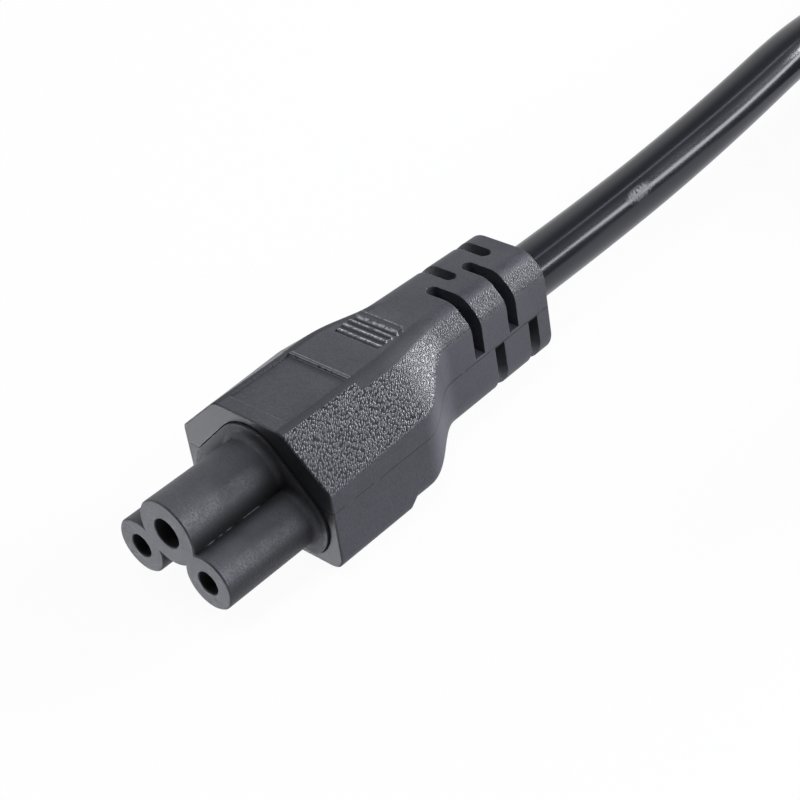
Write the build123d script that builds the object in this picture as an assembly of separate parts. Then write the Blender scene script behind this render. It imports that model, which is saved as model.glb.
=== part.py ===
from build123d import *
import os
from math import cos, pi, radians, sin, sqrt, tan

# Cloverleaf power cord, millimetres. The connector lies on its underside, nose towards -Y,
# cord towards +Y. The origin is under the middle of the connector.

# Connector overmould: a six-sided block, a neck and a strain relief
body_length = 40.0
body_width = 21.0
body_height = 14.8
top_width = 9.4
shoulder_height = 9.55
shoulder_rise = 0.7
block_length = 13.8
neck_length = 9.4
foot_length = 10.6
foot_step = 0.9
foot_ramp = 1.0
body_corner = 1.6
shoulder_round = 0.3
ridge_round = 0.75
front_bevel = 0.12

# Strain relief of the connector
relief_width = 11.9
relief_height = 13.3
relief_end_width = 11.5
relief_end_height = 12.95
relief_corner = 3.0
relief_flare = 0.35
relief_shoulder = 2.3
relief_round = 1.15
relief_end_bevel = 0.45
slot_width = 1.6
slot_pitch = 5.85
slot_count = 2
first_slot = 27.7
slot_lag = 0.25
slot_overlap = 0.6
slot_web = 0.2
sleeve_wall = 0.9

# Label recess and finger grip on the top
label_width = 8.2
label_front = 1.7
label_rear = 10.2
label_depth = 0.2
label_bar_width = 0.4
label_bar_rise = 0.08
grip_front = 15.75
grip_rear = 19.95
grip_first = 16.05
grip_pitch = 0.88
grip_ridges = 4
grip_width = 6.2
grip_rear_width = 5.7
grip_drop = 0.06
grip_climb = 0.09
grip_depth = 0.28
grip_last_depth = 0.5
grip_slant = 0.9

# Cloverleaf nose insert
nose_length = 12.05
pole_spacing = 9.6
pole_height = 4.78
earth_rise = 3.9
pole_lobe_radius = 3.1
earth_lobe_radius = 3.75
pole_hole_radius = 1.3
earth_hole_radius = 1.65
nose_edge = 0.14
nose_fillet = 0.7
hole_lead = 0.1
guide_length = 2.5
flange_margin = 1.4
flange_base = 0.9
flange_proud = 0.3
flange_depth = 1.6
flange_gap = 0.1
insert_depth = 7.0
insert_margin = 0.4

# Contacts and wires
contact_grip = 0.1
contact_wall = 0.5
contact_play = 0.15
contact_set_back = 0.8
contact_slit = 0.5
sleeve_length = 8.2
tail_radius = 1.0
crimp_length = 4.0
crimp_wall = 0.4
conductor_radius = 0.55
core_radius = 1.15
core_gap = 0.1
stripped_length = 3.2

# Cord
cord_diameter = 6.7
jacket_grip = 16.0
lead_path = [
    (0.0, 39.3, 0.0),
    (-0.8, 69.0, 1.4),
    (-2.6, 95.0, 1.05),
    (-3.8, 113.5, -3.35),
    (-3.6, 124.0, -3.4),
]

# Put-away hank: two turns wide, two layers high, lying on its two straps
hank_inner_radius = 21.0
hank_straight = 50.0
hank_start = 128.0
hank_side = -4.0
turns_wide = 2
layers = 2
strap_thickness = 0.8
strap_width = 9.0

# Plug: three-pin moulded mains plug with two flat blades and a round earth pin
plug_face = 61.4
plug_width = 24.0
plug_height = 24.0
plug_corner = 5.0
plug_block = 10.0
plug_body_length = 22.0
plug_relief_length = 22.0
plug_relief_width = 11.6
plug_relief_height = 12.4
plug_bevel = 0.6
plug_jacket_grip = 15.0
plug_first_slot = 5.2
blade_spacing = 12.7
blade_width = 6.35
blade_thickness = 1.52
blade_length = 17.9
blade_drop = 5.0
blade_tip = 1.6
blade_tip_taper = 0.35
earth_pin_offset = 11.9
earth_pin_radius = 2.38
earth_pin_length = 21.4
earth_shank_radius = 1.9
bridge_depth = 6.0
bridge_width = 18.6
bridge_height = 19.0
bridge_corner = 3.0

# Places that follow from the sizes
nose_y = -(nose_length + body_length) / 2
front_y = nose_y + nose_length
end_y = front_y + body_length
cord_radius = cord_diameter / 2
cord_z = foot_step + relief_height / 2
jacket_y = end_y - jacket_grip
earth_height = pole_height + earth_rise
core_ring = (2 * core_radius + core_gap) / sqrt(3)
hank_outer_radius = hank_inner_radius + (turns_wide - 1) * cord_diameter
hank_x = hank_side + hank_outer_radius
hank_round = 0.95 * cord_radius
tail_x = hank_x + hank_outer_radius
tail_z = strap_thickness + (layers - 0.5) * cord_diameter
plug_z = plug_height / 2
plug_end = plug_face + plug_body_length + plug_relief_length
plug_jacket_y = plug_end - plug_jacket_grip


def smooth(t):
    t = min(max(t, 0.0), 1.0)
    return t * t * (3 - 2 * t)


def mix(a, b, t):
    return a + (b - a) * t


def rod(x, z, start, stop, radius):
    """A round bar along Y."""
    return Pos(x, (start + stop) / 2, z) * Rot(90, 0, 0) * Cylinder(radius, stop - start)


def upright(sketch, y):
    """Lay a sketch drawn in x and z into the cross plane at y."""
    return Plane((0, y, 0), x_dir=(1, 0, 0), z_dir=(0, -1, 0)) * sketch


def cross_extrude(sketch, start, stop):
    """Extrude a sketch drawn in x and z along Y."""
    return extrude(upright(sketch, start), stop - start, dir=(0, 1, 0))


def tangent_route(points):
    """Straight runs joined by arcs as large as the runs allow, with the arc radii."""
    runs = [Vector(b) - Vector(a) for a, b in zip(points, points[1:])]
    reach = 0.45
    radii = [
        reach * min(a.length, b.length) / tan(radians(a.get_angle(b)) / 2)
        for a, b in zip(runs, runs[1:])
    ]
    return FilletPolyline(*points, radius=radii), radii


def wire_along(points, radius):
    """A round wire or cord of one radius along a route."""
    route, radii = tangent_route(points)
    disc = Plane(route @ 0, z_dir=route % 0) * Circle(radius)
    return sweep(disc, path=route), route, radii


# Connector overmould
def body_section(along, inset=0.0):
    """One cross section of the overmould, a distance behind its front face."""
    neck = smooth((along - block_length) / neck_length)
    relief = max(0.0, (along - block_length - neck_length) / (body_length - block_length - neck_length))
    rear_width = mix(relief_width, relief_end_width, relief)
    rear_top = foot_step + mix(relief_height, relief_end_height, relief)
    ramp = min(max((along - foot_length) / foot_ramp, 0.0), 1.0)
    rising = min(along / block_length, 1.0)
    side = mix(body_width, rear_width, neck) / 2
    top = mix(body_height, rear_top, neck)
    ridge = mix(top_width / 2, rear_width / 2 - relief_shoulder, neck)
    shoulder = mix(shoulder_height + shoulder_rise * rising, rear_top - relief_shoulder, neck)
    base = foot_step * ramp
    corner = mix(body_corner, relief_corner, neck)
    flare = relief_flare * neck
    low_round = mix(shoulder_round, relief_round, neck)
    high_round = mix(ridge_round, relief_round, neck)

    slant = inset * tan(radians(22.5))
    side, top, base = side - inset, top - inset, base + inset
    ridge, shoulder = ridge - slant, shoulder - slant
    slope = Vector(ridge - side, top - shoulder).normalized()
    low = Vector(side, shoulder) + slope * low_round
    high = Vector(ridge, top) - slope * high_round
    bulge = corner * (1 - sqrt(0.5))
    foot = side + flare
    right = [
        (ThreePointArc, [(foot - corner, base), (foot - bulge, base + bulge), (foot, base + corner)]),
        (Line, [(foot, base + corner), (side, shoulder - low_round)]),
        (Bezier, [(side, shoulder - low_round), (side, shoulder), (low.X, low.Y)]),
        (Line, [(low.X, low.Y), (high.X, high.Y)]),
        (Bezier, [(high.X, high.Y), (ridge, top), (ridge - high_round, top)]),
    ]
    left = [(kind, [(-x, z) for x, z in reversed(points)]) for kind, points in reversed(right)]
    underside = (Line, [(corner - foot, base), (foot - corner, base)])
    crown = (Line, [(ridge - high_round, top), (high_round - ridge, top)])
    outline = [underside] + right + [crown] + left
    y = front_y + along
    return Face(Wire([kind(*[(x, y, z) for x, z in points]) for kind, points in outline]))


def relief_slots(axis_x, axis_z, first_y, wide, tall):
    """Staggered flex slots round a strain relief that leave a sleeve on the cord."""
    reach = wide / 2 + slot_width
    sleeve = rod(axis_x, axis_z, first_y - slot_pitch, first_y + slot_pitch * (slot_count + 1),
                 cord_radius + sleeve_wall)
    slots = []
    for index in range(slot_count):
        for side in (1, -1):
            for level in (1, -1):
                stagger = 0 if side == level else slot_pitch / 2 + slot_lag
                y = first_y + index * slot_pitch + stagger
                inner = slot_width / 2 - slot_overlap
                strip = Pos(side * (inner + reach) / 2, 0) * Rectangle(reach - inner, slot_width)
                pill = strip + Pos(side * inner, 0) * Circle(slot_width / 2)
                prism = extrude(Pos(axis_x, y, axis_z + level * slot_web) * pill, level * tall)
                slots.append(prism - sleeve)
    return slots


def finger_grip():
    """Saw-tooth ridges across the top of the neck that climb while the neck falls away, and the
    clear space over them."""
    crest = [body_height - grip_drop + index * grip_climb for index in range(grip_ridges)]
    depth = [grip_depth] * (grip_ridges - 1) + [grip_last_depth]
    teeth = [(grip_front, crest[0] - depth[0])]
    for index in range(grip_ridges):
        start = grip_first + index * grip_pitch
        teeth += [(start, crest[index] - depth[index]), (start + grip_slant * depth[index], crest[index])]
    teeth.append((grip_rear, crest[-1]))
    floor = [(grip_rear, crest[0] - relief_shoulder), (grip_front, crest[0] - relief_shoulder)]
    roof = [(grip_rear, crest[-1] + relief_shoulder), (grip_front, crest[-1] + relief_shoulder)]
    front, rear = front_y + grip_front, front_y + grip_rear
    plan = Polyline(
        (-grip_width / 2, front), (grip_width / 2, front),
        (grip_rear_width / 2, rear), (-grip_rear_width / 2, rear), close=True,
    )
    column = extrude(Face(Wire(plan.edges())), 2 * body_height, dir=(0, 0, 1))
    prisms = []
    for cap in (floor, roof):
        profile = Polyline(*[(0, front_y + y, z) for y, z in teeth + cap], close=True)
        slab = extrude(Face(Wire(profile.edges())), grip_width, dir=(1, 0, 0))
        prisms.append(Pos(-grip_width / 2, 0, 0) * slab & column)
    return prisms


def connector_body(hollows):
    front = loft([
        body_section(0, front_bevel),
        body_section(front_bevel),
        body_section(foot_length),
        body_section(foot_length + foot_ramp),
        body_section(block_length),
    ], ruled=True)
    neck_stations = 5
    neck = loft([
        body_section(block_length + neck_length * k / neck_stations) for k in range(neck_stations + 1)
    ])
    relief = loft([
        body_section(block_length + neck_length),
        body_section(body_length - relief_end_bevel),
        body_section(body_length, relief_end_bevel),
    ], ruled=True)
    label_middle = front_y + (label_front + label_rear) / 2
    label = Pos(0, label_middle, body_height) * Box(label_width, label_rear - label_front, 2 * label_depth)
    bar_middle = front_y + label_rear + label_bar_width / 2
    bar = Pos(0, bar_middle, body_height) * Box(label_width, label_bar_width, 2 * label_bar_rise)
    ridges, clear_space = finger_grip()
    body = front + neck + relief - clear_space + ridges - label + bar
    body = body - relief_slots(0, cord_z, front_y + first_slot, relief_width, relief_height)
    return body - hollows


# Cloverleaf nose and what it holds
poles = {"line": (-pole_spacing / 2, pole_height), "neutral": (pole_spacing / 2, pole_height)}
sockets = {
    name: (x, z, pole_hole_radius, pole_lobe_radius) for name, (x, z) in poles.items()
}
sockets["earth"] = (0.0, earth_height, earth_hole_radius, earth_lobe_radius)


def clover(margin):
    """The three lobes drawn round, each larger by a margin."""
    return [Pos(x, z) * Circle(lobe + margin) for x, z, hole, lobe in sockets.values()]


def hull_plate(margin, start, stop):
    """A plate with the tight outline round the three lobes, cut level below."""
    discs = clover(margin)
    outline = make_hull(discs[0].edges() + discs[1].edges() + discs[2].edges())
    below = Pos(0, flange_base - body_height / 2) * Rectangle(2 * body_width, body_height)
    return cross_extrude(outline - below, start, stop)


def insert_blank(gap=0.0):
    """Flange and rear block of the insert, grown by a gap for the pocket that takes them."""
    plate = hull_plate(flange_margin + gap, front_y - flange_proud, front_y + flange_depth)
    block = hull_plate(insert_margin, front_y + flange_depth, front_y + insert_depth)
    return plate + block


def lobe_bar(x, z, radius):
    """One lobe of the nose, bevelled at its tip and rounded into the flange."""
    base = front_y - flange_proud
    foot = radius + nose_fillet
    bulge = nose_fillet * (1 - sqrt(0.5))
    tip, knee = (radius, nose_y + nose_edge), (radius, base - nose_fillet)
    profile = [
        Polyline((radius, knee[1]), tip, (radius - nose_edge, nose_y), (0, nose_y), (0, front_y)),
        Polyline((0, front_y), (foot, front_y), (foot, base)),
        ThreePointArc((foot, base), (radius + bulge, base - bulge), knee),
    ]
    edges = [edge for line in profile for edge in line.edges()]
    return Pos(x, 0, z) * revolve(Face(Wire(edges)), Axis.Y)


def connector_insert():
    insert = insert_blank()
    for x, z, hole, lobe in sockets.values():
        insert += lobe_bar(x, z, lobe)
    for x, z, hole, lobe in sockets.values():
        chamber = hole - contact_grip + contact_wall + contact_play
        seat = nose_y + guide_length + contact_set_back + sleeve_length
        lead_in = Pos(x, nose_y + hole_lead / 2, z) * Rot(-90, 0, 0) * Cone(hole + hole_lead, hole, hole_lead)
        insert -= lead_in
        insert -= rod(x, z, nose_y, nose_y + guide_length, hole)
        insert -= rod(x, z, nose_y + guide_length, seat, chamber)
        insert -= rod(x, z, seat, front_y + insert_depth, tail_radius)
    return insert


crimp_y = front_y + insert_depth
crimp_end = crimp_y + crimp_length
crimp_radius = conductor_radius + crimp_wall + tail_radius / 2


def contact(name):
    """A slit spring sleeve, its tail through the insert and its crimp barrel."""
    x, z, hole, lobe = sockets[name]
    bore = hole - contact_grip
    start = nose_y + guide_length + contact_set_back
    stop = start + sleeve_length
    floor = contact_wall * 2
    sleeve = rod(x, z, start, stop, bore + contact_wall) - rod(x, z, start, stop - floor, bore)
    slit_length = sleeve_length - 2 * floor
    slit = Pos(x, start + slit_length / 2, z + bore) * Box(contact_slit, slit_length, 2 * bore)
    barrel = rod(x, z, crimp_y, crimp_end, crimp_radius)
    barrel -= rod(x, z, crimp_end - stripped_length, crimp_end, conductor_radius)
    return sleeve - slit + rod(x, z, stop, crimp_y, tail_radius) + barrel


def core(start, heading, stop, run):
    """An insulated wire from a crimp to the cord, with its stripped end in the crimp."""
    x, y, z = start
    lay_x, lay_y, lay_z = stop
    bend_in = (x, y + heading * run, z)
    bend_out = (lay_x, lay_y - heading * run, lay_z)
    wire, route, radii = wire_along([start, bend_in, bend_out, stop], core_radius)
    low, high = sorted((y, y - heading * stripped_length))
    return wire + rod(x, z, low, high, conductor_radius)


def lay_place(turn, axis_x, axis_z):
    """Where one of the three wires lies inside the cord."""
    angle = radians(turn)
    return axis_x + core_ring * cos(angle), axis_z + core_ring * sin(angle)


lay_turns = {"line": 210, "neutral": -30, "earth": 90}
core_run = 3.0


def connector_core(name):
    x, z, hole, lobe = sockets[name]
    lay_x, lay_z = lay_place(lay_turns[name], 0, cord_z)
    return core((x, crimp_end, z), 1, (lay_x, jacket_y, lay_z), core_run)


# Cord, hank and strap
def hank_outline(radius):
    """A stadium of straight runs and half turns round the middle of the hank."""
    straight = Rectangle(2 * radius, hank_straight)
    turn_y = hank_straight / 2
    oval = straight + Pos(0, turn_y) * Circle(radius) + Pos(0, -turn_y) * Circle(radius)
    return Pos(hank_x, hank_start + turn_y) * oval


def cord_hank():
    outer = hank_outline(hank_outer_radius + cord_radius)
    inner = hank_outline(hank_inner_radius - cord_radius)
    ring = extrude(Pos(0, 0, strap_thickness) * (outer - inner), layers * cord_diameter)
    levels = ring.edges().filter_by(lambda e: e.bounding_box().size.Z < strap_thickness)
    return fillet(levels, hank_round)


def hank_tie(side):
    """A closed strap round one long side of the hank."""
    wide, tall = turns_wide * cord_diameter, layers * cord_diameter
    reach = hank_outer_radius + cord_radius - wide / 2
    middle = Pos(hank_x + side * reach, strap_thickness + tall / 2)
    band = middle * RectangleRounded(wide + 2 * strap_thickness, tall + 2 * strap_thickness,
                                     hank_round + strap_thickness)
    band -= middle * RectangleRounded(wide, tall, hank_round)
    y = hank_start + hank_straight / 2
    return cross_extrude(band, y - strap_width / 2, y + strap_width / 2)


def hank_wall():
    """The upright wall round the hank that the cord runs up to."""
    return extrude(hank_outline(hank_outer_radius + cord_radius), 2 * plug_height)


def report(name, tube, route, radii):
    ideal = pi * cord_radius**2 * route.length
    print(name, "radii", [round(r, 1) for r in radii], "length", round(route.length, 1),
          "volume over section times length", round(tube.volume / ideal, 4))


def cord_lead():
    points = [(0, jacket_y, cord_z)] + [(x, y, cord_z + drop) for x, y, drop in lead_path]
    tube, route, radii = wire_along(points, cord_radius)
    report("cord_lead", tube, route, radii)
    return tube - hank_wall()


def cord_tail():
    free = hank_start - plug_end
    return rod(tail_x, tail_z, plug_jacket_y, hank_start - free / 3, cord_radius) - hank_wall()


# Plug
blade_z = plug_z - blade_drop
earth_pin_z = blade_z + earth_pin_offset
bridge_y = plug_face + bridge_depth
prongs = {
    "line": (tail_x - blade_spacing / 2, blade_z),
    "neutral": (tail_x + blade_spacing / 2, blade_z),
    "earth": (tail_x, earth_pin_z),
}
plug_crimp_end = bridge_y + crimp_length


def plug_section(along, inset=0.0):
    """One cross section of the plug, a distance behind its face."""
    neck = smooth((along - plug_block) / (plug_body_length - plug_block))
    wide = mix(plug_width, plug_relief_width, neck) - 2 * inset
    tall = mix(plug_height, plug_relief_height, neck) - 2 * inset
    corner = mix(plug_corner, relief_corner, neck) - inset / 2
    axis_z = mix(plug_z, tail_z, neck)
    return upright(Pos(tail_x, axis_z) * RectangleRounded(wide, tall, corner), plug_face + along)


def plug_body(hollows):
    whole = plug_body_length + plug_relief_length
    block = loft([
        plug_section(0, plug_bevel),
        plug_section(plug_bevel),
        plug_section(plug_block),
    ], ruled=True)
    neck_stations = 4
    neck_span = plug_body_length - plug_block
    neck = loft([
        plug_section(plug_block + neck_span * k / neck_stations) for k in range(neck_stations + 1)
    ])
    relief = loft([
        plug_section(plug_body_length),
        plug_section(whole - relief_end_bevel),
        plug_section(whole, relief_end_bevel),
    ], ruled=True)
    body = block + neck + relief
    first = plug_face + plug_body_length + plug_first_slot
    body = body - relief_slots(tail_x, tail_z, first, plug_relief_width, plug_relief_height)
    return body - hollows


def bridge_blank():
    plate = Pos(tail_x, plug_z) * RectangleRounded(bridge_width, bridge_height, bridge_corner)
    return cross_extrude(plate, plug_face, bridge_y)


def plug_bridge():
    return bridge_blank() - [prong(name) for name in prongs]


def prong_barrel(x, z):
    barrel = rod(x, z, bridge_y, plug_crimp_end, crimp_radius)
    return barrel - rod(x, z, plug_crimp_end - stripped_length, plug_crimp_end, conductor_radius)


def prong(name):
    """A flat blade or the round earth pin, with its crimp barrel behind the bridge."""
    x, z = prongs[name]
    if name == "earth":
        pin = rod(x, z, plug_face - earth_pin_length, plug_face, earth_pin_radius)
        nose = pin.faces().sort_by(Axis.Y)[0].edges()
        shank = rod(x, z, plug_face, bridge_y, earth_shank_radius)
        return fillet(nose, earth_pin_radius * 0.9) + shank + prong_barrel(x, z)
    tip = plug_face - blade_length
    strip = Pos(x, z) * Rectangle(blade_thickness, blade_width)
    slim = Pos(x, z) * Rectangle(blade_thickness - 2 * blade_tip_taper, blade_width - 2 * blade_tip_taper)
    point = loft([upright(slim, tip), upright(strip, tip + blade_tip)], ruled=True)
    return point + cross_extrude(strip, tip + blade_tip, bridge_y) + prong_barrel(x, z)


def plug_core(name):
    x, z = prongs[name]
    lay_x, lay_z = lay_place(lay_turns[name], tail_x, tail_z)
    return core((x, plug_crimp_end, z), 1, (lay_x, plug_jacket_y, lay_z), core_run)


# Put the pieces together and write them out
nodes = {"connector_insert": connector_insert()}
connector_hollows = [insert_blank(flange_gap), rod(0, cord_z, jacket_y, end_y, cord_radius)]
for name in sockets:
    x, z, hole, lobe = sockets[name]
    nodes[name + "_contact"] = contact(name)
    nodes[name + "_core"] = connector_core(name)
    connector_hollows += [rod(x, z, crimp_y, crimp_end, crimp_radius), nodes[name + "_core"]]
nodes["connector_body"] = connector_body(connector_hollows)
nodes["cord_lead"] = cord_lead()
nodes["cord_hank"] = cord_hank()
nodes["hank_ties"] = hank_tie(-1) + hank_tie(1)
nodes["cord_tail"] = cord_tail()
nodes["plug_bridge"] = plug_bridge()
plug_hollows = [bridge_blank(), rod(tail_x, tail_z, plug_jacket_y, plug_end, cord_radius)]
prong_names = {"line": "line_blade", "neutral": "neutral_blade", "earth": "earth_pin"}
for name in prongs:
    x, z = prongs[name]
    nodes[prong_names[name]] = prong(name)
    nodes["plug_" + name + "_core"] = plug_core(name)
    plug_hollows += [rod(x, z, bridge_y, plug_crimp_end, crimp_radius), nodes["plug_" + name + "_core"]]
nodes["plug_body"] = plug_body(plug_hollows)

os.makedirs("parts", exist_ok=True)
for name, piece in nodes.items():
    export_step(piece, os.path.join("parts", name + ".step"))
    box = piece.bounding_box()
    print(name, len(piece.solids()), round(piece.volume, 1), [round(v, 2) for v in (*box.min, *box.max)])
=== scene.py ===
import bpy
import numpy as np
from math import cos, pi, radians, sin, tan
from mathutils import Matrix, Vector


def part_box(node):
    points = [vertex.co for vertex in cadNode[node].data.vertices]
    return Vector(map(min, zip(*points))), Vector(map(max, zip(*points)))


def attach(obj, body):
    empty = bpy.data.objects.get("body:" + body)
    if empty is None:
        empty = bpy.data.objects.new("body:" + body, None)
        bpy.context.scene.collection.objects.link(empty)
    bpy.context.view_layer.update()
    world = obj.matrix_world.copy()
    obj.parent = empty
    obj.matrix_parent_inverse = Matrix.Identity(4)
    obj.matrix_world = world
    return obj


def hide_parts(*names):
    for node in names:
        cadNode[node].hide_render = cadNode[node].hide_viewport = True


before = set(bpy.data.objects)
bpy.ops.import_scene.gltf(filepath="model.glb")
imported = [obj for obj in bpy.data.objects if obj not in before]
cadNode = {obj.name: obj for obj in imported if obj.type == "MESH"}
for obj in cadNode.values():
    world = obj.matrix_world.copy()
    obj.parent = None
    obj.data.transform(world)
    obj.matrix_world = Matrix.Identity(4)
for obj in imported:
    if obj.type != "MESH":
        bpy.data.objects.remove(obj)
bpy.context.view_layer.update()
mm = 0.001
view = bpy.context.scene
view.view_settings.view_transform = "Standard"
print("frame loaded,", len(cadNode), "nodes")


# one socket of a material, so that sums of sockets read as sums
class Signal:
    def __init__(self, finish, socket):
        self.finish = finish
        self.socket = socket

    def math(self, operation, *others):
        return self.finish.node("Math", {"operation": operation}, dict(enumerate((self,) + others)))

    def turned(self, operation, other):
        return self.finish.node("Math", {"operation": operation}, {0: other, 1: self})

    def __add__(self, other):
        return self.math("ADD", other)

    def __radd__(self, other):
        return self.math("ADD", other)

    def __sub__(self, other):
        return self.math("SUBTRACT", other)

    def __rsub__(self, other):
        return self.turned("SUBTRACT", other)

    def __mul__(self, other):
        return self.math("MULTIPLY", other)

    def __rmul__(self, other):
        return self.math("MULTIPLY", other)

    def __truediv__(self, other):
        return self.math("DIVIDE", other)

    def __rtruediv__(self, other):
        return self.turned("DIVIDE", other)

    def __abs__(self):
        return self.math("ABSOLUTE")

    def rise(self, low, high):  # 0 below low, 1 above high, smooth between
        return self.finish.node("MapRange", {"interpolation_type": "SMOOTHSTEP"},
                                {"Value": self, "From Min": low, "From Max": high})


# one material, or the world, built node by node
class Finish:
    def __init__(self, name, library=bpy.data.materials, output="ShaderNodeOutputMaterial"):
        self.material = library.new(name)
        self.material.use_nodes = True
        self.tree = self.material.node_tree
        self.tree.nodes.clear()
        self.output = self.tree.nodes.new(output)

    def node(self, kind, settings=None, sockets=None, out=0):
        made = self.tree.nodes.new("ShaderNode" + kind)
        for key, value in (settings or {}).items():
            setattr(made, key, value)
        for key, value in (sockets or {}).items():
            if isinstance(value, Signal):
                self.tree.links.new(value.socket, made.inputs[key])
            else:
                made.inputs[key].default_value = value
        return Signal(self, made.outputs[out])

    def place(self):  # the piece's own coordinates, in millimetres
        spot = self.node("TexCoord", out="Object")
        return self.node("VectorMath", {"operation": "SCALE"}, {0: spot, "Scale": 1 / mm})

    def split(self, vector):
        apart = self.node("SeparateXYZ", None, {0: vector})
        outs = apart.socket.node.outputs
        return [Signal(self, outs[k]) for k in range(3)]

    def facing(self):  # parts of the face's own direction
        return self.split(self.node("NewGeometry", out="Normal"))

    def stretch(self, vector, factors):
        return self.node("VectorMath", {"operation": "MULTIPLY"}, {0: vector, 1: factors})

    def noise(self, spot, scale, detail, roughness):
        return self.node("TexNoise", None, {"Vector": spot, "Scale": scale, "Detail": detail, "Roughness": roughness})

    def blendColor(self, share, first, second):
        return self.node("Mix", {"data_type": "RGBA"}, {0: share, 6: first, 7: second}, out=2)

    def bump(self, height, depth, below=None):
        sockets = {"Height": height, "Distance": depth * mm, "Strength": 1.0}
        if below is not None:
            sockets["Normal"] = below
        return self.node("Bump", None, sockets)

    def edges(self, radius):  # normals that turn over a radius in millimetres, so that edges catch light
        return self.node("Bevel", {"samples": 6}, {"Radius": radius * mm})

    # mask of outward edges, used for painted highlights and polish on them
    def outwardEdges(self, radius):  # 1 on outward edges, 0 on faces and in corners
        turn = self.node("VectorMath", {"operation": "DOT_PRODUCT"}, {
            0: self.edges(radius), 1: self.node("NewGeometry", out="Normal")}, out="Value")
        clear = self.node("AmbientOcclusion", {"samples": 4, "only_local": True}, {
            "Distance": 3 * radius * mm}, out="AO")
        return (1 - turn).rise(0.01, 0.10) * clear.rise(0.6, 0.85)

    def surface(self, **sockets):
        shader = self.node("BsdfPrincipled", None, {key.replace("_", " "): v for key, v in sockets.items()})
        self.tree.links.new(shader.socket, self.output.inputs["Surface"])
        return self.material


def rgb(red, green, blue):
    return (red, green, blue, 1.0)


def dress(names, material):
    for name in names:
        data = cadNode[name].data
        data.materials.clear()
        data.materials.append(material)


# a grid of points becomes a mesh, joined round in the second direction and capped at its ends
def ringMesh(name, points, uv):
    rings, sides = points.shape[:2]
    index = np.arange(rings * sides).reshape(rings, sides)
    right = np.roll(index, -1, axis=1)
    quads = np.stack([index[:-1], index[1:], right[1:], right[:-1]], axis=-1).reshape(-1, 4)
    caps = [index[0].tolist(), index[-1][::-1].tolist()]
    mesh = bpy.data.meshes.new(name)
    mesh.from_pydata(points.reshape(-1, 3).tolist(), [], quads.tolist() + caps)
    layer = mesh.uv_layers.new(name="along")
    around = np.arange(sides) / sides
    corner = np.empty(len(mesh.loops), np.int64)
    mesh.loops.foreach_get("vertex_index", corner)
    flat = np.stack([np.tile(around, rings), np.repeat(uv, sides)], axis=-1)[corner]
    lastSide = corner % sides == sides - 1
    seam = np.zeros(len(corner), bool)
    seam[:quads.size] = np.repeat(lastSide[:quads.size].reshape(-1, 4)[:, 0], 4)
    flat[seam & (corner % sides == 0), 0] = 1.0
    layer.data.foreach_set("uv", flat.astype(np.float32).ravel())
    mesh.polygons.foreach_set("use_smooth", np.arange(len(mesh.polygons)) < len(quads))
    mesh.update()
    piece = bpy.data.objects.new(name, mesh)
    view.collection.objects.link(piece)
    return piece


# camera, at the photograph's place
camera = {"place": (107.25, -95.5, 111.45), "azimuth": 46.34, "elevation": 35.97, "roll": -8.15,
          "focalPixels": 1704.0, "imagePixels": 800.0, "sensor": 36.0, "clip": (0.005, 20.0)}


def setCamera():
    lens = bpy.data.cameras.new("photoCamera")
    lens.sensor_width = camera["sensor"]
    lens.lens = camera["focalPixels"] / camera["imagePixels"] * camera["sensor"]
    lens.clip_start, lens.clip_end = camera["clip"]
    azimuth, elevation = radians(camera["azimuth"]), radians(camera["elevation"])
    back = Vector((sin(azimuth) * cos(elevation), -cos(azimuth) * cos(elevation), sin(elevation)))
    turn = (-back).to_track_quat("-Z", "Y").to_matrix() @ Matrix.Rotation(radians(camera["roll"]), 3, "Z")
    stand = bpy.data.objects.new("photoCamera", lens)
    stand.matrix_world = Matrix.Translation(Vector(camera["place"]) * mm) @ turn.to_4x4()
    view.collection.objects.link(stand)
    view.camera = stand
    print("camera set, lens", round(lens.lens, 2), "mm")


setCamera()


# cord: lead, hank and tail on one spline
cord = {
    "diameter": 6.7,
    "exit": (0.0, 26.025, 7.55),
    "lead": [(0.0, 10.025, 7.55), (0.0, 39.3, 7.35), (-0.1, 67.0, 8.5), (-0.6, 93.0, 11.2),
             (-2.8, 109.0, 6.0), (-4.0, 120.0, 4.1)],
    "hankMiddle": 23.7, "hankStart": 128.0, "hankStraight": 50.0,
    "bundleRadius": 24.35, "bundleHeight": 7.5, "layRadius": 4.74, "nearLift": 0.9,
    "halfTurns": 7, "arcPoints": 6,
    "tail": [(51.4, 128.0, 10.85), (51.4, 106.0, 10.85), (51.4, 90.4, 10.85)],
    "sides": 36, "samples": 24, "closest": 1e-4,
    "lump": 0.010, "lumpCount": 3, "lay": 62.0,
}


# turns of the hank: control points on the tangent polygon of each half turn; the four strands of the
# bundle move round it by a quarter at each near end, so each turn lies beside or on the last
def hankPoints():
    step = pi / cord["arcPoints"]
    theta = (np.arange(cord["arcPoints"]) + 0.5) * step
    outward = 1 / cos(step / 2)
    acrossUnit = np.concatenate([[-1.0], -np.cos(theta) * outward, [1.0]])
    alongUnit = np.concatenate([[-tan(step / 2)], np.sin(theta) * outward, [-tan(step / 2)]])
    half = np.arange(cord["halfTurns"])[:, None]
    near = half % 2
    share = np.linspace(0, 1, len(acrossUnit))[None, :]
    eased = share * share * (3 - 2 * share)
    turn = -pi / 4 - pi / 2 * (half // 2 + near * eased)
    radius = cord["bundleRadius"] + cord["layRadius"] * np.cos(turn)
    height = cord["bundleHeight"] + cord["layRadius"] * np.sin(turn)
    height = height + cord["nearLift"] * near * np.sin(pi * share) ** 2
    side = 1 - 2 * near
    x = cord["hankMiddle"] + side * radius * acrossUnit
    y = cord["hankStart"] + (1 - near) * cord["hankStraight"] + side * radius * alongUnit
    return np.stack([x, y, height], axis=-1).reshape(-1, 3)


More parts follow.
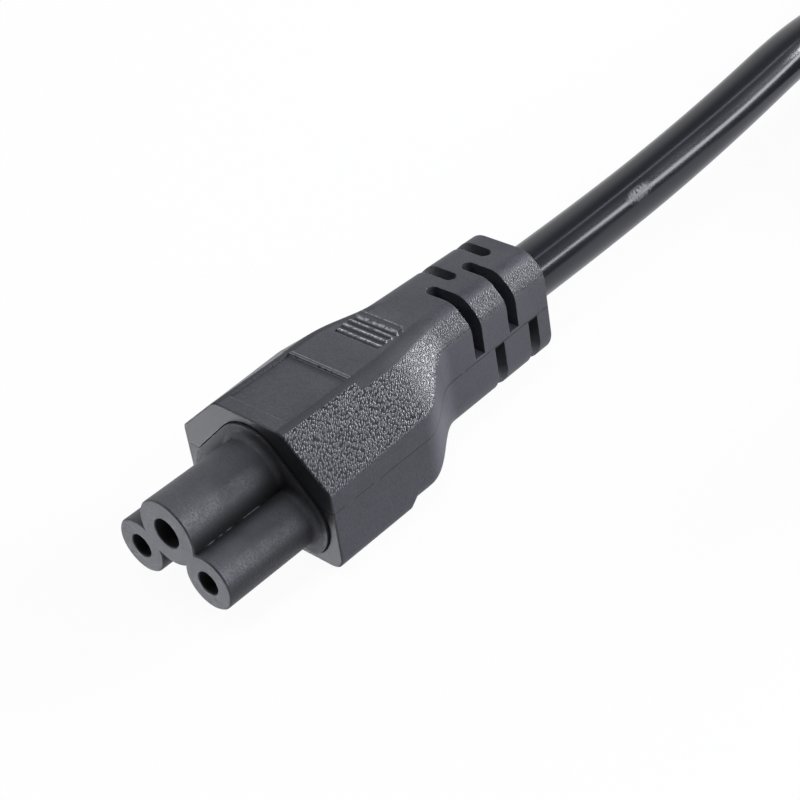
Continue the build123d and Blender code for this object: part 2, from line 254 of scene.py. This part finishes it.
def splinePoints():
    route = np.concatenate([cord["lead"], hankPoints(), cord["tail"]]) * mm
    data = bpy.data.curves.new("cordRoute", "CURVE")
    data.dimensions = "3D"
    spline = data.splines.new("NURBS")
    spline.points.add(len(route) - 1)
    spline.points.foreach_set("co", np.c_[route, np.ones(len(route))].ravel())
    spline.order_u = 3
    spline.use_endpoint_u = True
    spline.resolution_u = cord["samples"]
    carrier = bpy.data.objects.new("cordRoute", data)
    view.collection.objects.link(carrier)
    bpy.context.view_layer.update()
    mesh = bpy.data.meshes.new_from_object(carrier)
    found = np.empty(len(mesh.vertices) * 3)
    mesh.vertices.foreach_get("co", found)
    bpy.data.meshes.remove(mesh)
    bpy.data.objects.remove(carrier)
    bpy.data.curves.remove(data)
    return found.reshape(-1, 3)


# jacket: a circle carried along the spline, r = R (1 + lump cos(3 angle - twist)), the laid cores
# inside just showing
def cordJacket():
    line = splinePoints()
    step = np.linalg.norm(np.diff(line, axis=0), axis=1)
    line = line[np.concatenate([[True], step > cord["closest"] * mm])]
    along = np.concatenate([[0.0], np.cumsum(np.linalg.norm(np.diff(line, axis=0), axis=1))])
    ahead = np.gradient(line, along, axis=0)
    ahead /= np.linalg.norm(ahead, axis=1, keepdims=True)
    across = np.cross(ahead, (0.0, 0.0, 1.0))
    across /= np.linalg.norm(across, axis=1, keepdims=True)
    above = np.cross(across, ahead)
    angle = np.arange(cord["sides"]) * 2 * pi / cord["sides"]
    twist = along[:, None] / (cord["lay"] * mm) * 2 * pi
    radius = cord["diameter"] / 2 * mm
    swell = radius * (1 + cord["lump"] * np.cos(cord["lumpCount"] * angle[None, :] - twist))
    ring = across[:, None, :] * np.cos(angle)[None, :, None] + above[:, None, :] * np.sin(angle)[None, :, None]
    tube = line[:, None, :] + ring * swell[:, :, None]
    piece = ringMesh("cordJacket", tube, along / (2 * pi * radius))
    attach(piece, "root")
    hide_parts("cord_lead", "cord_hank", "cord_tail")
    print("cord made,", len(line), "rings, length", round(along[-1], 3), "m")
    return piece


jacket = cordJacket()


# overmould: satin soft plastic, with a painted highlight on its outward edges and, on the connector, marks of its own
# with painted shade and highlights. Millimetres; places along the connector are counted from the front of its block
mould = {
    "front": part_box("connector_body")[0].y / mm, "blockLength": 13.8, "neckLength": 9.4,
    "tint": rgb(0.063, 0.064, 0.077), "deep": rgb(0.037, 0.038, 0.047), "highlight": rgb(0.17, 0.172, 0.19),
    "crest": rgb(0.60, 0.60, 0.62), "groove": rgb(0.01, 0.01, 0.012),
    "rough": 0.46, "cloudScale": 0.22, "mottleScale": 1.7, "gritScale": 3.6, "microScale": 6.0, "microDepth": 0.022,
    "edge": 0.10, "edgeHighlight": 0.6, "edgePolish": 0.2,
    "ridge": 4.7, "ridgeRear": 3.65, "smoothBand": 0.15, "wideBand": 1.0, "rearBand": 0.3, "bandStart": 10.4,
    "shadeTone": rgb(0.020, 0.021, 0.025), "pebbleGlint": rgb(0.076, 0.077, 0.090), "slopeAcross": 0.83, "slopeFall": 0.55,
    "grainLean": 1.1, "grainAlong": 1.7, "grainAcross": 3.9, "grainSoftness": 0.35, "grainDepth": 0.030,
    "grainPolish": 0.16, "neckDull": 0.06, "neckGlintDim": 0.45, "neckHighlight": 0.14,
    "shadeEnd": 23.5, "shadeFade": 2.5, "shadeDark": 0.6, "shadeDull": 0.25,
    "partingHeight": 7.45, "partingWidth": 0.20, "partingDepth": 0.04, "partingScale": 0.55, "partingDark": 0.85,
    "topHeight": 14.0, "gripStart": 15.75, "gripFirst": 16.05, "gripPitch": 0.88, "gripLast": 19.25, "gripEnd": 19.95,
    "gripHalf": 3.1, "valleyShade": 0.8, "crestHighlight": 0.6, "glintScale": 2.6,
    "barFront": 10.2, "barRear": 10.6, "barHalf": 4.1, "barHighlight": 0.35, "faceShade": 0.75, "facePolish": 0.08,
}


# slopes: a smooth band at the ridge, duller and with painted shade, and below it short leaning pebbles, which are the
# cells of a pattern laid on the slope and stretched along the lean; their colour is painted shade in the pits and
# painted glints on the tops
def slopeGrain(finish, spot, tone, rough, normal):
    x, y, z = finish.split(spot)
    nx, nz = finish.facing()[::2]
    behind = y - mould["front"]
    neck = behind.rise(mould["blockLength"], mould["blockLength"] + mould["neckLength"])
    ridge = mould["ridge"] + (mould["ridgeRear"] - mould["ridge"]) * neck
    wide = behind.rise(mould["bandStart"] - 0.1, mould["bandStart"] + 0.1)
    band = mould["smoothBand"] + (mould["wideBand"] - mould["smoothBand"]) * wide
    band = band + (mould["rearBand"] - mould["wideBand"]) * neck
    tilted = nz.rise(0.28, 0.38)
    slope = abs(nx).rise(0.06, 0.16) * tilted * (abs(x) - ridge - band).rise(0.0, 0.12 + 0.5 * neck)
    down = mould["slopeAcross"] * abs(x) - mould["slopeFall"] * z  # distance down the slope
    sheet = finish.node("CombineXYZ", None, {0: (y + mould["grainLean"] * down) * mould["grainAcross"],
                                             1: (down - mould["grainLean"] * y) * mould["grainAlong"]})
    cell = finish.node("TexVoronoi", {"feature": "SMOOTH_F1", "voronoi_dimensions": "2D"}, {
        "Vector": sheet, "Scale": 1.0, "Smoothness": mould["grainSoftness"]}, out="Distance")
    pebble = cell.rise(0.60, 0.12)
    # pebble colour: painted shade in the pits and painted glints on the tops, the glints dimmer at the neck
    pebbleShading = finish.blendColor(pebble * (1 - mould["neckGlintDim"] * neck), mould["shadeTone"], mould["pebbleGlint"])
    tone = finish.blendColor(slope, tone, pebbleShading)
    # painted highlight on the neck's sides
    tone = finish.blendColor(mould["neckHighlight"] * neck * abs(nx).rise(0.4, 0.8), tone, mould["highlight"])
    # painted shade on the smooth band beside the grain, fading out towards the rear
    shade = abs(nx).rise(0.02, 0.12) * tilted * (1 - slope)
    shade = shade * behind.rise(mould["shadeEnd"], mould["shadeEnd"] - mould["shadeFade"])
    tone = finish.blendColor(mould["shadeDark"] * shade, tone, mould["shadeTone"])
    rough = rough - (mould["grainPolish"] - mould["neckDull"] * neck) * slope + mould["shadeDull"] * shade
    return tone, rough, finish.bump(pebble * slope, mould["grainDepth"], normal)


# parting line: a fine groove round the sides, broken in places
def partingLine(finish, spot, tone, normal):
    z = finish.split(spot)[2]
    nz = finish.facing()[2]
    broken = finish.noise(spot, mould["partingScale"], 2.0, 0.6).rise(0.36, 0.46) * abs(nz).rise(0.4, 0.3)
    groove = broken * (1 - abs(z - mould["partingHeight"]).rise(0.0, mould["partingWidth"]))
    tone = finish.blendColor(mould["partingDark"] * groove, tone, mould["groove"])
    return tone, finish.bump(1 - groove, mould["partingDepth"], normal)


# top: painted glints and highlights on the crests of the grip's ridges, painted shade in its valleys and on the last
# ridge's flat top, and painted highlights on the edges of the bar behind the label
def topMarks(finish, spot, mottle, tone):
    x, y, z = finish.split(spot)
    behind = y - mould["front"]
    top = z.rise(mould["topHeight"], mould["topHeight"] + 0.1)
    grip = behind.rise(mould["gripStart"], mould["gripStart"] + 0.05)
    grip = grip * behind.rise(mould["gripEnd"], mould["gripEnd"] - 0.05)
    grip = grip * abs(x).rise(mould["gripHalf"], mould["gripHalf"] - 0.1) * top
    phase = ((behind - mould["gripFirst"]) / mould["gripPitch"]).math("FRACT")
    fade = 1 - 0.7 * behind.rise(mould["gripLast"], mould["gripLast"] + 0.2)
    crest = phase.rise(0.14, 0.26) * phase.rise(0.54, 0.36) * fade
    glint = crest * finish.noise(spot, mould["glintScale"], 3.0, 0.7).rise(0.40, 0.62)
    # painted shade in the grip's valleys and on the flat top of its last ridge
    ramp = 0.5 * behind.rise(mould["gripLast"], mould["gripLast"] + 0.1)
    shadedValley = phase.rise(0.16, 0.04).math("MAXIMUM", ramp)
    tone = finish.blendColor(mould["valleyShade"] * grip * shadedValley, tone, mould["groove"])
    # painted highlight and painted glints on the grip's crests
    tone = finish.blendColor(mould["crestHighlight"] * grip * crest, tone, mould["highlight"])
    tone = finish.blendColor(grip * glint, tone, mould["crest"])
    # painted highlights along the edges of the bar behind the label
    line = abs(behind - mould["barFront"]).rise(0.10, 0.04) + abs(behind - mould["barRear"]).rise(0.09, 0.03)
    bar = line * abs(x).rise(mould["barHalf"] + 0.05, mould["barHalf"] - 0.05) * top * mottle.rise(0.3, 0.5)
    return finish.blendColor(mould["barHighlight"] * bar, tone, mould["crest"])


# front: the polished face round the nose, its colour darkened by painted shade
def frontFace(finish, spot, tone, rough):
    behind = finish.split(spot)[1] - mould["front"]
    ny = finish.facing()[1]
    face = ny.rise(-0.9, -0.97) * behind.rise(0.5, 0.3)
    return finish.blendColor(mould["faceShade"] * face, tone, mould["groove"]), rough - mould["facePolish"] * face


def overmould(name, marked):
    finish = Finish(name)
    spot = finish.place()
    cloud = finish.noise(spot, mould["cloudScale"], 3.0, 0.6)
    mottle = finish.noise(spot, mould["mottleScale"], 3.0, 0.7)
    micro = finish.noise(spot, mould["microScale"], 2.0, 0.6)
    grit = finish.noise(spot, mould["gritScale"], 4.0, 0.75)
    edge = finish.outwardEdges(mould["edge"])
    tone = finish.blendColor((0.35 * cloud + 0.65 * grit).rise(0.36, 0.64), mould["deep"], mould["tint"])
    # painted highlight on outward edges, broken by the mottle
    tone = finish.blendColor(mould["edgeHighlight"] * edge * mottle.rise(0.35, 0.6), tone, mould["highlight"])
    rough = mould["rough"] + 0.10 * (cloud - 0.5) + 0.10 * (mottle - 0.5) + 0.06 * (micro - 0.5)
    rough = rough - mould["edgePolish"] * edge
    normal = finish.bump(micro, mould["microDepth"], finish.edges(mould["edge"]))
    if marked:
        tone, rough, normal = slopeGrain(finish, spot, tone, rough, normal)
        tone, normal = partingLine(finish, spot, tone, normal)
        tone = topMarks(finish, spot, mottle, tone)
        tone, rough = frontFace(finish, spot, tone, rough)
    return finish.surface(Base_Color=tone, Roughness=rough, Normal=normal)


# nose: harder satin plastic, mottled, with faint marks along the draw of the mould, painted shade in corners and
# under the lobes, a painted highlight where the lobes face up and outwards, a painted highlight along the creases
# between them, and painted highlights on outward edges
nose = {
    "tint": rgb(0.072, 0.074, 0.087), "deep": rgb(0.046, 0.047, 0.055), "highlight": rgb(0.14, 0.14, 0.16),
    "corner": rgb(0.008, 0.008, 0.010), "lobeHighlight": rgb(0.22, 0.22, 0.235), "creaseHighlight": rgb(0.30, 0.30, 0.32),
    "rough": 0.42, "cloudScale": 0.35, "streakScale": 2.2, "streakDepth": 0.006, "draw": (1.0, 0.08, 1.0),
    "mottleScale": 3.6, "mottleDepth": 0.09, "edge": 0.10, "edgeHighlight": 0.6, "edgePolish": 0.2,
    "cornerReach": 4, "cornerShade": 0.92, "cornerDull": 0.35, "undersideShade": 0.85,
    "highlightFacing": (0.834, 0.552), "highlightShare": 0.38, "highlightEnd": -14.5, "highlightFade": 4.0, "speckScale": 5.5,
    "creaseAcross": 3.61, "creaseHeight": 7.65, "creaseWidth": 0.16,
}


def noseFinish():
    finish = Finish("noseSatin")
    spot = finish.place()
    x, y, z = finish.split(spot)
    nx, ny, nz = finish.facing()
    drawn = finish.stretch(spot, nose["draw"])
    cloud = finish.noise(spot, nose["cloudScale"], 3.0, 0.6)
    streak = finish.noise(drawn, nose["streakScale"], 3.0, 0.6)
    mottle = finish.noise(spot, nose["mottleScale"], 3.0, 0.7)
    tone = finish.blendColor((0.5 * cloud + 0.5 * mottle).rise(0.3, 0.7), nose["deep"], nose["tint"])
    # painted highlight, speckled, where the lobes face up and outwards, fading towards the flange
    across, upward = nose["highlightFacing"]
    lobeHighlight = (across * abs(nx) + upward * nz).rise(0.93, 1.0) * finish.noise(spot, 0.6, 2.0, 0.6).rise(0.32, 0.6)
    speck = finish.noise(spot, nose["speckScale"], 2.0, 0.7).rise(0.36, 0.66)
    ahead = y.rise(nose["highlightEnd"], nose["highlightEnd"] - nose["highlightFade"])
    tone = finish.blendColor(nose["highlightShare"] * lobeHighlight * speck * ahead, tone, nose["lobeHighlight"])
    # painted shade in corners and on the undersides of the lobes
    free = finish.node("AmbientOcclusion", {"samples": 6}, {"Distance": nose["cornerReach"] * mm}, out="AO")
    corner = free.rise(0.86, 0.5)
    low = nz.rise(0.55, 0.0) * abs(ny).rise(0.8, 0.4)  # undersides of the lobes
    paintedShade = (nose["cornerShade"] * corner).math("MAXIMUM", nose["undersideShade"] * low)
    tone = finish.blendColor(paintedShade, tone, nose["corner"])
    # painted highlight along the creases between the lobes
    aside = finish.node("CombineXYZ", None, {0: abs(x) - nose["creaseAcross"], 1: z - nose["creaseHeight"]})
    creaseHighlight = finish.node("VectorMath", {"operation": "LENGTH"}, {0: aside}, out="Value").rise(
        nose["creaseWidth"], 0.3 * nose["creaseWidth"])
    tone = finish.blendColor(creaseHighlight * finish.noise(spot, 0.9, 3.0, 0.7).rise(0.42, 0.6), tone, nose["creaseHighlight"])
    # painted highlight on outward edges, broken by the mottle
    edge = finish.outwardEdges(nose["edge"])
    tone = finish.blendColor(nose["edgeHighlight"] * edge * mottle.rise(0.35, 0.6), tone, nose["highlight"])
    rough = nose["rough"] + 0.12 * (streak - 0.5) + 0.40 * (mottle - 0.5) + nose["cornerDull"] * corner
    rough = rough - nose["edgePolish"] * edge
    normal = finish.bump(streak, nose["streakDepth"], finish.edges(nose["edge"]))
    normal = finish.bump(mottle, nose["mottleDepth"], normal)
    return finish.surface(Base_Color=tone, Roughness=rough, Normal=normal)


# jacket: glossy black, with faint long flow lines and one rubbed spot
gloss = {
    "tint": rgb(0.0160, 0.0170, 0.0215), "deep": rgb(0.0125, 0.0130, 0.0170), "rubbed": rgb(0.10, 0.10, 0.11),
    "rough": 0.19, "cloudScale": 0.12, "flow": (14.0, 0.35, 1.0), "flowDepth": 0.006,
    "scuff": (2.7, 47.8, 9.7), "scuffShape": (0.9, 0.33, 0.9), "scuffScale": 3.0, "scuffDull": 0.25,
}


def jacketFinish():
    finish = Finish("jacketGloss")
    spot = finish.place()
    lengthwise = finish.node("TexCoord", out="UV")
    flow = finish.stretch(lengthwise, gloss["flow"])
    cloud = finish.noise(spot, gloss["cloudScale"], 2.0, 0.5)
    line = finish.noise(flow, 1.0, 2.0, 0.5)
    squeezed = finish.stretch(spot, gloss["scuffShape"])
    middle = tuple(a * b for a, b in zip(gloss["scuff"], gloss["scuffShape"]))
    away = finish.node("VectorMath", {"operation": "DISTANCE"}, {0: squeezed, 1: middle}, out="Value")
    scuff = away.rise(1.0, 0.3) * finish.noise(spot, gloss["scuffScale"], 2.0, 0.6).rise(0.3, 0.6)
    tone = finish.blendColor(scuff, finish.blendColor(cloud, gloss["deep"], gloss["tint"]), gloss["rubbed"])
    rough = gloss["rough"] + 0.06 * (cloud - 0.5) + 0.05 * (line - 0.5) + gloss["scuffDull"] * scuff
    return finish.surface(Base_Color=tone, Roughness=rough, Normal=finish.bump(line, gloss["flowDepth"]))


# strap: woven band
weave = {"thread": 2.4, "tint": rgb(0.035, 0.035, 0.038), "deep": rgb(0.012, 0.012, 0.013), "rough": 0.75,
         "fuzzScale": 6.0, "depth": 0.08}


def strapFinish():
    finish = Finish("strapWeave")
    spot = finish.place()
    x, y, z = finish.split(spot)
    warp = (y * weave["thread"] * pi).math("SINE")
    weft = ((x + z) * weave["thread"] * pi).math("SINE")
    over = (warp * weft * 0.5 + 0.5).rise(0.2, 0.8)
    fuzz = finish.noise(spot, weave["fuzzScale"], 3.0, 0.6)
    tone = finish.blendColor(over, weave["deep"], weave["tint"])
    normal = finish.bump(over + 0.4 * fuzz, weave["depth"])
    return finish.surface(Base_Color=tone, Roughness=weave["rough"] + 0.2 * (fuzz - 0.5), Normal=normal)


# brass parts and wire insulation, each with its bright and its dull or deep colour
metal = {
    "contact": (rgb(0.72, 0.55, 0.27), rgb(0.55, 0.4, 0.18)), "prong": (rgb(0.75, 0.6, 0.33), rgb(0.62, 0.47, 0.24)),
    "rough": 0.26, "draw": (1.0, 0.06, 1.0), "lineScale": 5.0, "lineDepth": 0.004, "cloudScale": 0.5,
}
wire = {
    "line": (rgb(0.2, 0.08, 0.03), rgb(0.15, 0.06, 0.025)), "neutral": (rgb(0.04, 0.14, 0.5), rgb(0.03, 0.11, 0.4)),
    "earth": (rgb(0.12, 0.45, 0.08), rgb(0.1, 0.36, 0.06)), "rough": 0.35, "cloudScale": 0.6, "depth": 0.01,
}


def metalFinish(name, bright, dull):
    finish = Finish(name)
    spot = finish.place()
    drawn = finish.stretch(spot, metal["draw"])
    cloud = finish.noise(spot, metal["cloudScale"], 3.0, 0.6)
    line = finish.noise(drawn, metal["lineScale"], 2.0, 0.5)
    tone = finish.blendColor(cloud.rise(0.35, 0.75), bright, dull)
    rough = metal["rough"] + 0.2 * (line - 0.5)
    normal = finish.bump(line, metal["lineDepth"])
    return finish.surface(Base_Color=tone, Metallic=1.0, Roughness=rough, Normal=normal)


def wireFinish(name, tint, deep):
    finish = Finish(name)
    spot = finish.place()
    cloud = finish.noise(spot, wire["cloudScale"], 2.0, 0.5)
    tone = finish.blendColor(cloud, deep, tint)
    rough = wire["rough"] + 0.1 * (cloud - 0.5)
    return finish.surface(Base_Color=tone, Roughness=rough, Normal=finish.bump(cloud, wire["depth"]))


dress(["connector_body"], overmould("overmouldGrained", True))
dress(["plug_body"], overmould("overmouldSmooth", False))
dress(["connector_insert", "plug_bridge"], noseFinish())
jacket.data.materials.append(jacketFinish())
dress(["hank_ties"], strapFinish())
dress(["line_contact", "neutral_contact", "earth_contact"], metalFinish("contactMetal", *metal["contact"]))
dress(["line_blade", "neutral_blade", "earth_pin"], metalFinish("prongMetal", *metal["prong"]))
for pole in ("line", "neutral", "earth"):
    dress([pole + "_core", "plug_" + pole + "_core"], wireFinish(pole + "Wire", *wire[pole]))
print("finishes on")


# stage: white floor that keeps a faint shadow
stage = {
    "size": 3.0, "floorSeen": rgb(0.92, 0.92, 0.92), "floorTint": rgb(0.35, 0.35, 0.35), "seenShare": 0.95,
    "glossShare": 0.75, "white": rgb(1, 1, 1), "cool": rgb(0.93, 0.94, 1.0),
    "skyLean": (-0.9, 0.3), "skyFade": (0.3, 0.75), "skyDark": 0.10, "skyBright": 0.7,
}


def floorFinish():
    finish = Finish("floorWhite")
    seen = finish.node("LightPath", out="Is Camera Ray")
    outs = seen.socket.node.outputs
    mirrored = Signal(finish, outs["Is Glossy Ray"]).math("MAXIMUM", Signal(finish, outs["Is Transmission Ray"]))
    share = (seen * stage["seenShare"]).math("MAXIMUM", mirrored * stage["glossShare"])
    tone = finish.blendColor(seen, stage["floorTint"], stage["floorSeen"])
    plain = finish.node("BsdfDiffuse", None, {"Color": tone})
    glowTone = finish.blendColor(seen, stage["cool"], stage["white"])
    glow = finish.node("Emission", None, {"Color": glowTone, "Strength": 1.0})
    both = finish.node("MixShader", None, {0: share, 1: plain, 2: glow})
    finish.tree.links.new(both.socket, finish.output.inputs["Surface"])
    return finish.material


def setFloor():
    half = stage["size"] / 2
    mesh = bpy.data.meshes.new("floor")
    mesh.from_pydata([(-half, -half, 0), (half, -half, 0), (half, half, 0), (-half, half, 0)], [], [(0, 1, 2, 3)])
    mesh.materials.append(floorFinish())
    floor = bpy.data.objects.new("floor", mesh)
    floor.visible_shadow = False  # a light table: the glow from below passes it
    view.collection.objects.link(floor)


# world: light from the left and behind that fades towards the right, white where the camera looks
# past the floor
def setWorld():
    sky = Finish("studio", bpy.data.worlds, "ShaderNodeOutputWorld")
    x, y = sky.split(sky.node("TexCoord", out="Generated"))[:2]
    leanAcross, leanAlong = stage["skyLean"]
    glow = (x * leanAcross + y * leanAlong).rise(*stage["skyFade"])
    level = stage["skyDark"] + (stage["skyBright"] - stage["skyDark"]) * glow
    seen = sky.node("LightPath", out="Is Camera Ray")
    strength = level.math("MAXIMUM", seen)
    light = sky.node("Background", None, {"Color": stage["white"], "Strength": strength})
    sky.tree.links.new(light.socket, sky.output.inputs["Surface"])
    view.world = sky.material


# soft lamps: name, where it stands (mm), what it looks at (mm), width and height (mm), watts
lamps = {
    "tableGlow": ((-295, -300, -290), (0, -8, 8), 350, 350, 0.80),
    "topSoft": ((-40, 20, 745), (0, 0, 8), 180, 180, 1.6),
    "edgeGlint": ((-350, -345, 340), (0, 0, 8), 80, 80, 0.35),
    "glintRight": ((450, 60, 400), (0, 0, 8), 90, 90, 0.4),
    "backPanel": ((215, 662, 245), (0, 0, 8), 240, 130, 4.9),
    "stripRight": ((461, 430, 192), (0, 430, 8), 700, 110, 2.2),
    "stripTop": ((170, 700, 700), (170, 700, 0), 60, 320, 0.17),
}


def setLamps():
    for name, (place, aim, wide, tall, watts) in lamps.items():
        lamp = bpy.data.lights.new(name, "AREA")
        lamp.shape = "RECTANGLE"
        lamp.size, lamp.size_y = wide * mm, tall * mm
        lamp.energy = watts
        lamp.color = stage["cool"][:3]
        lamp.cycles.use_multiple_importance_sampling = place[2] > 0  # the glow shines through the table
        stand = bpy.data.objects.new(name, lamp)
        toward = (Vector(aim) - Vector(place)).to_track_quat("-Z", "Y")
        stand.matrix_world = Matrix.Translation(Vector(place) * mm) @ toward.to_matrix().to_4x4()
        view.collection.objects.link(stand)


setFloor()
setWorld()
setLamps()
print("stage and lamps set")
